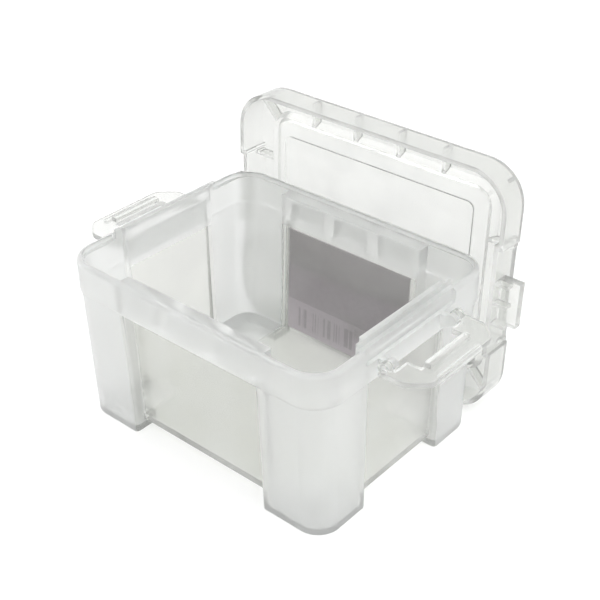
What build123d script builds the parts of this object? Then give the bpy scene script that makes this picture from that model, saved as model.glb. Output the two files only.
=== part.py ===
from build123d import *
import os
from math import atan2, cos, radians, sin, tan

# Clip-handle storage box for cryogenic vials, in clear polypropylene: a tub on four corner feet, a loose lid,
# two clip handles that swing up to lock the lid, and a paper label on the back of the tub.
# Millimetres, +Z up, +X along the long side. The origin is on the surface that the box stands on, at the
# middle of the whole footprint. The lid is off: it stands on its long edge behind the tub, underside towards
# the tub. The two handles lie open.

wall = 1.2
tub_centre_y = -4.98

# Tub: half sizes at the foot (z = 0) and at the ledge, over the corner columns and over the sunk side bays
column_foot_x, column_foot_y = 38.3, 29.2
column_top_x, column_top_y = 38.0, 31.0
column_corner = 6.0
bay_foot_x, bay_foot_y = 36.2, 26.2
bay_top_x, bay_top_y = 36.9, 27.6
bay_half_x, bay_half_y = 20.8, 13.6
bay_crest_round, bay_root_round = 1.0, 0.7
floor_underside = 2.6
foot_inner_x, foot_inner_y, foot_inner_corner = 30.0, 22.0, 3.0
ledge_top = 43.4

# Rim: the band round the top, the crest that the lid goes over and, on the short sides, a shoulder with a
# raised wall that the lid rests on
rim_x, rim_y, rim_corner = 39.2, 31.4, 8.0
rim_bottom, rim_top = 35.5, 44.6
rim_crest_round, rim_edge_round = 1.1, 1.0
rest_top, rest_half = 46.1, 17.0
rest_wall_outer, shoulder_outer = 37.1, 38.3
notch_half, notch_bottom = 16.2, 41.0
post_width, post_x = 4.3, (-21.0, -7.0, 7.0, 21.0)

# Hinges: each handle turns on two pins. They stand out of lugs on the band, and a lug's underside slopes
# back to it.
hinge_x, hinge_z = 41.9, 40.2
pin_radius, pin_clearance, pin_length = 0.85, 0.08, 1.7
lug_inner, lug_outer = 10.4, 12.0
lug_radius, lug_root, lug_shelf, lug_slope = 1.3, 38.6, 40.9, 30

# Handles, lying open: distances out from the hinge axis and heights above it
barrel_radius, barrel_inner, barrel_outer = 1.5, 12.3, 13.9
plate_top, plate_bottom = 0.0, -1.4
arm_root, arm_end, arm_half = -0.5, 6.2, 15.1
bar_inner, bar_outer, bar_half = 5.7, 10.8, 11.0
outline_round, edge_round = 3.0, 0.5
lug_gap_end, finger_gap_half, gap_round = 2.0, 8.2, 0.8
lip_width, lip_half, lip_top = 1.7, 7.4, 1.2
grip_width, grip_height = 1.2, 0.8

# Lid: half sizes, then depths from its free edge to its outside
lid_x, lid_y, lid_corner, lid_depth = 41.0, 32.9, 10.3, 8.7
lid_round = 1.3
panel_depth, channel_depth = 5.3, 7.5
inner_wall_margin, inner_wall_slope = 7.0, 1.0
inner_wall_corner = 5.0
web_thickness, web_depth = 1.0, 5.0
long_web_x, short_web_y = (-19.95, -6.65, 6.65, 19.95), (-13.2, 13.2)
pad_margin, pad_corner, pad_height = 11.7, 2.0, 0.6
end_recess, end_recess_half = 1.1, 14.2
corner_web_margin, corner_web_length = 5.95, 7.0
tab_half, tab_out, tab_near, tab_far = 6.0, 45.3, 2.5, 4.7
tab_rib_out, tab_rib_near = 43.5, 0.3

# Where the lid stands: the lowest line of its free edge, from the rim's outer face. It is turned a little, and
# leans back enough to clear the rim higher up.
lid_centre_x, lid_gap = -0.2, -0.65
lid_turn, lid_lean = 0.2, 1.6

# Label, stuck on the outside of the back bay
label_half, label_bottom, label_top, label_thickness = 19.4, 4.2, 34.4, 0.3


def tub_level(height):
    """Horizontal plane over the middle of the tub."""
    return Plane((0, tub_centre_y, height))


def corners_at(sketch, x, y):
    """The four corners of a sketch at (+-x, +-y)."""
    return sketch.vertices().filter_by(lambda v: abs(abs(v.X) - x) < 1e-4 and abs(abs(v.Y) - y) < 1e-4)


def bayed_outline(height, column_x, column_y, corner, bay_x, bay_y, half_x, half_y, crest_round, root_round):
    """Section of the tub: a rounded rectangle with a shallow bay sunk into each side, its edges rounded."""
    with BuildSketch(tub_level(height)) as outline:
        RectangleRounded(2 * column_x, 2 * column_y, corner)
        with Locations((0, column_y), (0, -column_y)):
            Rectangle(2 * half_x, 2 * (column_y - bay_y), mode=Mode.SUBTRACT)
        with Locations((column_x, 0), (-column_x, 0)):
            Rectangle(2 * (column_x - bay_x), 2 * half_y, mode=Mode.SUBTRACT)

        fillet(corners_at(outline, half_x, column_y) + corners_at(outline, column_x, half_y), crest_round)
        fillet(corners_at(outline, half_x, bay_y) + corners_at(outline, bay_x, half_y), root_round)
    return outline.sketch


outer_foot = bayed_outline(0, column_foot_x, column_foot_y, column_corner, bay_foot_x, bay_foot_y,
                           bay_half_x, bay_half_y, bay_crest_round, bay_root_round)
outer_top = bayed_outline(ledge_top, column_top_x, column_top_y, column_corner, bay_top_x, bay_top_y,
                          bay_half_x, bay_half_y, bay_crest_round / 2, bay_root_round / 2)
inner_foot = bayed_outline(0, column_foot_x - wall, column_foot_y - wall, column_corner - wall,
                           bay_foot_x - wall, bay_foot_y - wall, bay_half_x + wall, bay_half_y + wall,
                           bay_root_round, bay_crest_round)
inner_top = bayed_outline(ledge_top, column_top_x - wall, column_top_y - wall, column_corner - wall,
                          bay_top_x - wall, bay_top_y - wall, bay_half_x + wall, bay_half_y + wall,
                          bay_root_round / 2, bay_crest_round / 2)


def between_feet(grow):
    """Plan of everything between the four L-shaped feet, grown by some distance into them."""
    with BuildSketch(tub_level(0)) as region:
        RectangleRounded(2 * (foot_inner_x + grow), 2 * (foot_inner_y + grow), foot_inner_corner + grow)
        Rectangle(2 * (bay_half_x + grow), 4 * column_foot_y)
        Rectangle(4 * column_foot_x, 2 * (bay_half_y + grow))
    return region.sketch


# The tub's cavity: it goes down into the hollow feet, and stops at the raised floor between them
with BuildPart() as cavity:
    loft([inner_foot, inner_top], ruled=True)
    extrude(inner_top, amount=rest_top - ledge_top)
    with BuildSketch(tub_level(0)):
        Rectangle(4 * column_foot_x, 4 * column_foot_y)
    extrude(amount=wall, mode=Mode.SUBTRACT)
    extrude(between_feet(wall), amount=floor_underside + wall, mode=Mode.SUBTRACT)

# The rim's band, open below, with its crest and the flat ledge inside it
with BuildPart() as rim:
    with BuildSketch(tub_level(rim_bottom)):
        RectangleRounded(2 * rim_x, 2 * rim_y, rim_corner)
    extrude(amount=rim_top - rim_bottom)
    fillet(rim.faces().sort_by(Axis.Z)[-1].edges(), rim_crest_round)
    fillet(rim.faces().sort_by(Axis.Z)[0].edges(), rim_edge_round)
    with BuildSketch(tub_level(rim_bottom), tub_level(ledge_top)):
        RectangleRounded(2 * (rim_x - wall), 2 * (rim_y - wall), rim_corner - wall)
    extrude(amount=ledge_top - wall - rim_bottom, mode=Mode.SUBTRACT)
    for side in (-1, 1):
        with BuildSketch(tub_level(notch_bottom)):
            with Locations((side * (shoulder_outer + wall), 0)):
                Rectangle(2 * wall, 2 * notch_half)
        extrude(amount=rim_top - notch_bottom, mode=Mode.SUBTRACT)

with BuildPart() as box_body:
    loft([outer_foot, outer_top], ruled=True)
    extrude(between_feet(0), amount=floor_underside, mode=Mode.SUBTRACT)
    add(rim.part)
    # shoulder and raised wall on the short sides
    rest_inner = bay_top_x - wall
    for outer, top in ((shoulder_outer, rim_top), (rest_wall_outer, rest_top)):
        with BuildSketch(tub_level(ledge_top - wall)):
            for side in (-1, 1):
                with Locations((side * (outer + rest_inner) / 2, 0)):
                    Rectangle(outer - rest_inner, 2 * rest_half)
        extrude(amount=top - ledge_top + wall)
    # posts under the ledge that stiffen the band along the long sides
    with BuildSketch(tub_level(rim_bottom + rim_edge_round)):
        with Locations(*[(x, 0) for x in post_x]):
            Rectangle(post_width, 2 * (rim_y - wall / 2))
    extrude(amount=ledge_top - wall - rim_bottom - rim_edge_round)
    add(cavity.part, mode=Mode.SUBTRACT)
    # hinge lugs and their pins
    slope_start_x = lug_radius * sin(radians(lug_slope))
    slope_start_z = -lug_radius * cos(radians(lug_slope))
    slope_foot = slope_start_z - (slope_start_x + hinge_x - lug_root) * tan(radians(lug_slope))
    for side in (-1, 1):
        for end in (-1, 1):
            lug_origin = (side * hinge_x, tub_centre_y + end * lug_inner, hinge_z)
            lug_plane = Plane(lug_origin, x_dir=(side, 0, 0), z_dir=(0, end, 0))
            up = side * end * -1
            with BuildSketch(lug_plane):
                Circle(lug_radius)
                with BuildLine():
                    Polyline(
                        (0, up * (lug_shelf - hinge_z)),
                        (lug_root - hinge_x, up * (lug_shelf - hinge_z)),
                        (lug_root - hinge_x, up * slope_foot),
                        (slope_start_x, up * slope_start_z),
                        close=True,
                    )
                make_face()
            extrude(amount=lug_outer - lug_inner)
            with BuildSketch(lug_plane):
                Circle(pin_radius)
            extrude(amount=lug_outer - lug_inner + pin_length)
box_body.part.label = "box_body"
os.makedirs("parts", exist_ok=True)
export_step(box_body.part, "parts/box_body.step")


def clip_handle(side):
    """Clip handle of the +X end (side 1) or the -X end (side -1), lying open: a bar on two arms.

    Each arm has a barrel that turns on its pin. The lip on the bar's inner edge hooks over the closed
    lid's tab.
    """
    hinge = Plane((side * hinge_x, tub_centre_y, hinge_z), x_dir=(side, 0, 0), z_dir=(0, 0, 1))
    with BuildPart() as handle:
        with BuildSketch(hinge.offset(plate_bottom)):
            with BuildLine():
                FilletPolyline(
                    (arm_root, -arm_half),
                    (arm_end, -arm_half),
                    (bar_outer, -bar_half),
                    (bar_outer, bar_half),
                    (arm_end, arm_half),
                    (arm_root, arm_half),
                    radius=outline_round,
                )
                Line((arm_root, arm_half), (arm_root, -arm_half))
            make_face()
        extrude(amount=plate_top - plate_bottom)
        levels = handle.faces().sort_by(Axis.Z)
        fillet(levels[0].edges() + levels[-1].edges(), edge_round)
        # grip along the underside of the bar
        with BuildSketch(hinge.offset(plate_bottom)):
            with Locations((bar_outer - edge_round - grip_width / 2, 0)):
                SlotOverall(2 * (bar_half - outline_round), grip_width, rotation=90)
        extrude(amount=-grip_height)
        # gap for the lugs at the root, and the finger gap beyond it
        with BuildSketch(hinge.offset(plate_bottom)):
            with Locations((lug_gap_end - bar_inner, 0)):
                Rectangle(2 * bar_inner, 2 * barrel_inner)
            RectangleRounded(2 * bar_inner, 2 * finger_gap_half, gap_round)
        extrude(amount=plate_top - plate_bottom, mode=Mode.SUBTRACT)
        # lip
        with BuildSketch(hinge.offset(plate_bottom)):
            with Locations((bar_inner + lip_width / 2, 0)):
                Rectangle(lip_width, 2 * lip_half)
        extrude(amount=lip_top - plate_bottom)
        # barrels
        for end in (-1, 1):
            barrel_plane = Plane(hinge.from_local_coords((0, end * barrel_inner, 0)), x_dir=(side, 0, 0),
                                 z_dir=hinge.y_dir * end)
            with BuildSketch(barrel_plane):
                Circle(barrel_radius)
            extrude(amount=barrel_outer - barrel_inner)
            with BuildSketch(barrel_plane):
                Circle(pin_radius + pin_clearance)
            extrude(amount=barrel_outer - barrel_inner, mode=Mode.SUBTRACT)
    return handle


handle_right = clip_handle(1)
handle_right.part.label = "handle_right"
export_step(handle_right.part, "parts/handle_right.step")

handle_left = clip_handle(-1)
handle_left.part.label = "handle_left"
export_step(handle_left.part, "parts/handle_left.step")

# Lid plane: on the free edge's rectangle, across the lid, pointing into its depth
turn, lean = radians(lid_turn), radians(lid_lean)
lid_up = Vector(-sin(lean) * sin(turn), sin(lean) * cos(turn), cos(lean))
lid_foot = Vector(
    lid_centre_x,
    tub_centre_y + rim_y + lid_gap,
    (lid_depth - lid_round) * sin(lean) + lid_round * (1 - cos(lean)),
)
lid_plane = Plane(
    lid_foot + lid_up * lid_y,
    x_dir=(cos(turn), sin(turn), 0),
    z_dir=(-cos(lean) * sin(turn), cos(lean) * cos(turn), -sin(lean)),
)


def lid_rectangle(depth, margin, corner):
    """Rounded rectangle across the lid, that far from its free edge and that far in from its outline."""
    with BuildSketch(lid_plane.offset(depth)) as rectangle:
        RectangleRounded(2 * (lid_x - margin), 2 * (lid_y - margin), corner)
    return rectangle.sketch


with BuildPart() as lid:
    extrude(lid_rectangle(0, 0, lid_corner), amount=lid_depth)
    fillet(lid.faces().sort_by(Axis.Y)[-1].edges(), lid_round)
    # the short ends are sunk in the middle, where the hinges are
    with BuildSketch(lid_plane):
        for side in (-1, 1):
            with Locations((side * lid_x, 0)):
                Rectangle(2 * end_recess, 2 * end_recess_half)
    extrude(amount=lid_depth, mode=Mode.SUBTRACT)
    # the hollow inside the skirt
    with BuildSketch(lid_plane):
        RectangleRounded(2 * (lid_x - wall), 2 * (lid_y - wall), lid_corner - wall)
        for side in (-1, 1):
            with Locations((side * (lid_x - wall), 0)):
                Rectangle(2 * end_recess, 2 * (end_recess_half + wall), mode=Mode.SUBTRACT)
    extrude(amount=channel_depth, mode=Mode.SUBTRACT)
    # the middle panel stands in the hollow on a sloping wall, and is sunk into the outside
    loft(
        [
            lid_rectangle(panel_depth, inner_wall_margin, inner_wall_corner),
            lid_rectangle(channel_depth, inner_wall_margin - inner_wall_slope,
                          inner_wall_corner + inner_wall_slope),
        ],
        ruled=True,
    )
    loft(
        [
            lid_rectangle(panel_depth + wall, inner_wall_margin + wall, inner_wall_corner - wall),
            lid_rectangle(lid_depth, inner_wall_margin + wall - inner_wall_slope,
                          inner_wall_corner - wall + inner_wall_slope),
        ],
        ruled=True,
        mode=Mode.SUBTRACT,
    )
    extrude(lid_rectangle(panel_depth - pad_height, pad_margin, pad_corner), amount=pad_height)
    # webs across the channel between the skirt and the panel's wall
    web_inner_x, web_inner_y = lid_x - inner_wall_margin, lid_y - inner_wall_margin
    web_length = inner_wall_margin - wall / 2
    with BuildSketch(lid_plane.offset(web_depth)):
        for side in (-1, 1):
            with Locations(*[(x, side * (web_inner_y + web_length / 2)) for x in long_web_x]):
                Rectangle(web_thickness, web_length)
            with Locations(*[(side * (web_inner_x + web_length / 2), y) for y in short_web_y]):
                Rectangle(web_length, web_thickness)
            for end in (-1, 1):
                with Locations((side * (lid_x - corner_web_margin), end * (lid_y - corner_web_margin))):
                    Rectangle(corner_web_length, web_thickness, rotation=45 * side * end)
    extrude(amount=channel_depth - web_depth + wall / 2)
    # clip tabs, each on three ribs
    tab_root = lid_x - end_recess - wall / 2
    rib_y = tab_half - web_thickness / 2
    with BuildSketch(lid_plane.offset(tab_near)):
        for side in (-1, 1):
            with Locations((side * (tab_out + tab_root) / 2, 0)):
                Rectangle(tab_out - tab_root, 2 * tab_half)
    extrude(amount=tab_far - tab_near)
    with BuildSketch(lid_plane.offset(tab_rib_near)):
        for side in (-1, 1):
            with Locations(*[(side * (tab_rib_out + tab_root) / 2, y) for y in (-rib_y, 0, rib_y)]):
                Rectangle(tab_rib_out - tab_root, web_thickness)
    extrude(amount=tab_far - tab_rib_near)
lid.part.label = "lid"
export_step(lid.part, "parts/lid.step")

# Label
bay_slope = atan2(bay_top_y - bay_foot_y, ledge_top)
bay_face = Plane(
    (0, tub_centre_y + bay_foot_y, 0),
    x_dir=(-1, 0, 0),
    z_dir=(0, cos(bay_slope), -sin(bay_slope)),
)
with BuildPart() as label:
    with BuildSketch(bay_face):
        with Locations((0, (label_bottom + label_top) / 2)):
            Rectangle(2 * label_half, label_top - label_bottom)
    extrude(amount=label_thickness)
label.part.label = "label"
export_step(label.part, "parts/label.step")
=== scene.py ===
from math import cos, radians, sin

import bpy
from mathutils import Matrix, Vector


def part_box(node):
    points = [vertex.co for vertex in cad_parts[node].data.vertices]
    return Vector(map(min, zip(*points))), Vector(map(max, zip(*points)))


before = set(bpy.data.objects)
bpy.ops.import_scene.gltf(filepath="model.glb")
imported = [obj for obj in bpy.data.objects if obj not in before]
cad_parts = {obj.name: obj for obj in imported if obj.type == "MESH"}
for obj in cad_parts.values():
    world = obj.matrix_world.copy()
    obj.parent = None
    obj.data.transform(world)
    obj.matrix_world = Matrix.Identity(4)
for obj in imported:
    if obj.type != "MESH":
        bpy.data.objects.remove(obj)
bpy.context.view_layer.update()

# Camera: aimed at a point over the footprint's middle
AIM = Vector((0.0, 0.0033, 0.0292))
CAMERA_DISTANCE = 0.2901
AZIMUTH, ELEVATION, ROLL = 40.665, 32.716, 0.099
LENS = 71.3

# Tub: where its bays end and its rim band starts, and how softly the milkier plastic begins
BAY_HALF_X, BAY_HALF_Y, BAND_BOTTOM, ZONE_EDGE = 0.0208, 0.0136, 0.0355, 0.001

# Plastic: colours from its darkest to its lightest parts, then how cloudy and how frosted it is
TUB_COLOURS = (0.835, 0.84, 0.812, 1.0), (0.94, 0.947, 0.938, 1.0)
LID_COLOURS = (0.88, 0.886, 0.868, 1.0), (0.93, 0.935, 0.925, 1.0)
NOISE_LOW, NOISE_HIGH = 0.3, 0.7
CLOUD_SCALE, GRAIN_SCALE = 95.0, 420.0
SMOOTH, ROUGH = 0.13, 0.24
CLEAREST, CLOUDIEST = 0.87, 0.79
CLOUD_WHITENESS, FROST_ROUGHNESS, FROST_MILKINESS = 0.35, 0.18, 0.07

# Label: the paler band's top, the space round its bars, its tones and its colours
LABEL_BAND_TOP, LABEL_BAND_EDGE = 0.0136, 0.0003
BAR_MARGIN_LEFT, BAR_MARGIN_RIGHT, BAR_MARGIN_FOOT, BAR_EDGE = 0.003, 0.0095, 0.0018, 0.0001
FIBRE_SCALE, BAR_SCALE = 900.0, 700.0
TONE_LOW, TONE_HIGH, BAND_TONE, BAR_TONE = 0.66, 0.74, 0.3, 0.32
INK, PAPER = (0.15, 0.13, 0.155, 1.0), (0.74, 0.665, 0.74, 1.0)

# Lights: name, place, size and power
LAMPS = (
    ("key", (-0.35, -0.25, 0.6), 0.4, 1.35),
    ("fill", (0.5, 0.1, 0.5), 0.5, 0.8),
)
WORLD_STRENGTH = 0.98
FLOOR_HALF = 3.0


def make_camera():
    turn, lift, roll = radians(AZIMUTH), radians(ELEVATION), radians(ROLL)
    ahead = Vector((-sin(turn) * cos(lift), cos(turn) * cos(lift), -sin(lift)))
    right = Vector((cos(turn), sin(turn), 0.0))
    down = ahead.cross(right)
    rolled_right = right * cos(roll) + down * sin(roll)
    rolled_down = down * cos(roll) - right * sin(roll)
    camera = bpy.data.objects.new("camera", bpy.data.cameras.new("camera"))
    camera.data.lens = LENS
    camera.data.clip_start = 0.01
    axes = Matrix((rolled_right, -rolled_down, -ahead)).transposed().to_4x4()
    camera.matrix_world = Matrix.Translation(AIM - ahead * CAMERA_DISTANCE) @ axes
    bpy.context.collection.objects.link(camera)
    bpy.context.scene.camera = camera


def new_material(name):
    material = bpy.data.materials.new(name)
    material.use_nodes = True
    nodes = material.node_tree.nodes
    nodes.clear()
    return material, nodes, material.node_tree.links


def set_inputs(node, **values):
    for name, value in values.items():
        node.inputs[name.replace("_", " ")].default_value = value


def make_floor():
    material, nodes, links = new_material("floor_paper")
    output = nodes.new("ShaderNodeOutputMaterial")
    shader = nodes.new("ShaderNodeBsdfPrincipled")
    set_inputs(shader, Base_Color=(0.95, 0.95, 0.95, 1.0), Roughness=0.9)
    links.new(shader.outputs[0], output.inputs["Surface"])
    mesh = bpy.data.meshes.new("floor")
    corners = [(x * FLOOR_HALF, y * FLOOR_HALF, 0) for x, y in ((-1, -1), (1, -1), (1, 1), (-1, 1))]
    mesh.from_pydata(corners, [], [(0, 1, 2, 3)])
    floor = bpy.data.objects.new("floor", mesh)
    mesh.materials.append(material)
    bpy.context.collection.objects.link(floor)


def make_lights():
    world = bpy.data.worlds.new("studio")
    world.use_nodes = True
    set_inputs(world.node_tree.nodes["Background"], Color=(1.0, 1.0, 1.0, 1.0), Strength=WORLD_STRENGTH)
    bpy.context.scene.world = world
    bpy.context.scene.view_settings.view_transform = "Standard"
    for name, place, size, power in LAMPS:
        light = bpy.data.lights.new(name, "AREA")
        light.shape = "SQUARE"
        light.size = size
        light.energy = power
        lamp = bpy.data.objects.new(name, light)
        lamp.location = place
        lamp.rotation_euler = (AIM - Vector(place)).to_track_quat("-Z", "Y").to_euler()
        bpy.context.collection.objects.link(lamp)


def maths(nodes, links, operation, first, second=None):
    """One Math node; each input is a number or another node's output."""
    node = nodes.new("ShaderNodeMath")
    node.operation = operation
    for socket, value in zip(node.inputs, (first, second)):
        if isinstance(value, bpy.types.NodeSocket):
            links.new(value, socket)
        elif value is not None:
            socket.default_value = value
    return node.outputs[0]


def ramp(nodes, links, value, low, high, to_low=0.0, to_high=1.0):
    """Smooth change from to_low, where value is low, to to_high, where it is high."""
    node = nodes.new("ShaderNodeMapRange")
    node.interpolation_type = "SMOOTHSTEP"
    links.new(value, node.inputs["Value"])
    set_inputs(node, From_Min=low, From_Max=high, To_Min=to_low, To_Max=to_high)
    return node.outputs["Result"]


def noise(nodes, links, place, scale, detail):
    node = nodes.new("ShaderNodeTexNoise")
    links.new(place, node.inputs["Vector"])
    set_inputs(node, Scale=scale, Detail=detail)
    return node.outputs["Fac"]


def bump(nodes, links, shader, height, strength, distance):
    node = nodes.new("ShaderNodeBump")
    set_inputs(node, Strength=strength, Distance=distance)
    links.new(height, node.inputs["Height"])
    links.new(node.outputs["Normal"], shader.inputs["Normal"])


def colour_by(nodes, links, shader, value, colours):
    """Base colour from the first of two colours, where value is 0, to the second, where it is 1."""
    node = nodes.new("ShaderNodeValToRGB")
    for element, colour in zip(node.color_ramp.elements, colours):
        element.color = colour
    links.new(value, node.inputs["Fac"])
    links.new(node.outputs["Color"], shader.inputs["Base Color"])


def frosted_zone(nodes, links, place):
    """1 on the tub's corner columns, feet and rim band, which are moulded milkier than its thin walls."""
    low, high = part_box("box_body")
    axes = nodes.new("ShaderNodeSeparateXYZ")
    links.new(place, axes.inputs[0])
    across = maths(nodes, links, "ABSOLUTE", axes.outputs["X"])
    centred = maths(nodes, links, "SUBTRACT", axes.outputs["Y"], (low[1] + high[1]) / 2)
    along = maths(nodes, links, "ABSOLUTE", centred)
    column = maths(nodes, links, "MULTIPLY",
                   ramp(nodes, links, across, BAY_HALF_X, BAY_HALF_X + ZONE_EDGE),
                   ramp(nodes, links, along, BAY_HALF_Y, BAY_HALF_Y + ZONE_EDGE))
    band = ramp(nodes, links, axes.outputs["Z"], BAND_BOTTOM - ZONE_EDGE, BAND_BOTTOM)
    return maths(nodes, links, "MAXIMUM", column, band)


def polypropylene(name, frosted, colours):
    """Natural polypropylene: clear but a little cloudy, and it lets lamps through to what is behind it."""
    material, nodes, links = new_material(name)
    output = nodes.new("ShaderNodeOutputMaterial")
    place = nodes.new("ShaderNodeTexCoord").outputs["Object"]
    milky = nodes.new("ShaderNodeBsdfPrincipled")
    set_inputs(milky, IOR=1.45)
    cloud = noise(nodes, links, place, CLOUD_SCALE, 3.0)
    roughness = ramp(nodes, links, cloud, NOISE_LOW, NOISE_HIGH, SMOOTH, ROUGH)
    transmission = ramp(nodes, links, cloud, NOISE_LOW, NOISE_HIGH, CLEAREST, CLOUDIEST)
    whiteness = ramp(nodes, links, cloud, NOISE_LOW, NOISE_HIGH, 0.0, CLOUD_WHITENESS)
    if frosted:
        zone = frosted_zone(nodes, links, place)
        rougher = maths(nodes, links, "MULTIPLY", zone, FROST_ROUGHNESS)
        roughness = maths(nodes, links, "ADD", roughness, rougher)
        milkier = maths(nodes, links, "MULTIPLY", zone, FROST_MILKINESS)
        transmission = maths(nodes, links, "SUBTRACT", transmission, milkier)
        whiteness = maths(nodes, links, "MAXIMUM", whiteness, zone)
    colour_by(nodes, links, milky, whiteness, colours)
    links.new(roughness, milky.inputs["Roughness"])
    links.new(transmission, milky.inputs["Transmission Weight"])
    bump(nodes, links, milky, noise(nodes, links, place, GRAIN_SCALE, 2.0), 0.06, 0.0002)
    through = nodes.new("ShaderNodeBsdfTransparent")
    set_inputs(through, Color=(0.975, 0.98, 0.975, 1.0))
    path = nodes.new("ShaderNodeLightPath")
    mix = nodes.new("ShaderNodeMixShader")
    links.new(path.outputs["Is Shadow Ray"], mix.inputs["Fac"])
    links.new(milky.outputs[0], mix.inputs[1])
    links.new(through.outputs[0], mix.inputs[2])
    links.new(mix.outputs[0], output.inputs["Surface"])
    return material


def label_paper():
    """Matt grey paper with a paler band along its foot, which holds a row of plain upright bars."""
    material, nodes, links = new_material("label_paper")
    output = nodes.new("ShaderNodeOutputMaterial")
    shader = nodes.new("ShaderNodeBsdfPrincipled")
    place = nodes.new("ShaderNodeTexCoord").outputs["Object"]
    axes = nodes.new("ShaderNodeSeparateXYZ")
    links.new(place, axes.inputs[0])
    x, z = axes.outputs["X"], axes.outputs["Z"]
    fibre = noise(nodes, links, place, FIBRE_SCALE, 4.0)

    low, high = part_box("label")
    foot_band = ramp(nodes, links, z, LABEL_BAND_TOP, LABEL_BAND_TOP + LABEL_BAND_EDGE, 1.0, 0.0)
    stripes = nodes.new("ShaderNodeTexNoise")
    stripes.noise_dimensions = "1D"
    links.new(x, stripes.inputs["W"])
    set_inputs(stripes, Scale=BAR_SCALE, Detail=1.0)
    bars = ramp(nodes, links, stripes.outputs["Fac"], 0.5, 0.54)
    for value, start, end in (
        (x, low[0] + BAR_MARGIN_LEFT, 1), (x, high[0] - BAR_MARGIN_RIGHT, -1),
        (z, low[2] + BAR_MARGIN_FOOT, 1), (z, LABEL_BAND_TOP - BAR_MARGIN_FOOT, -1),
    ):
        inside = ramp(nodes, links, value, start - BAR_EDGE, start + BAR_EDGE, 0.5 - end / 2, 0.5 + end / 2)
        bars = maths(nodes, links, "MULTIPLY", bars, inside)

    tone = maths(nodes, links, "ADD", ramp(nodes, links, fibre, NOISE_LOW, NOISE_HIGH, TONE_LOW, TONE_HIGH),
                 maths(nodes, links, "MULTIPLY", foot_band, BAND_TONE))
    tone = maths(nodes, links, "SUBTRACT", tone, maths(nodes, links, "MULTIPLY", bars, BAR_TONE))
    colour_by(nodes, links, shader, tone, (INK, PAPER))
    links.new(ramp(nodes, links, fibre, NOISE_LOW, NOISE_HIGH, 0.52, 0.68), shader.inputs["Roughness"])
    bump(nodes, links, shader, fibre, 0.25, 0.0001)
    links.new(shader.outputs[0], output.inputs["Surface"])
    return material


def dress(node, material):
    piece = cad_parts[node]
    piece.data.materials.clear()
    piece.data.materials.append(material)


make_camera()
make_floor()
make_lights()
dress("box_body", polypropylene("tub_polypropylene", True, TUB_COLOURS))
plastic = polypropylene("clear_polypropylene", False, LID_COLOURS)
for node in ("lid", "handle_left", "handle_right"):
    dress(node, plastic)
dress("label", label_paper())
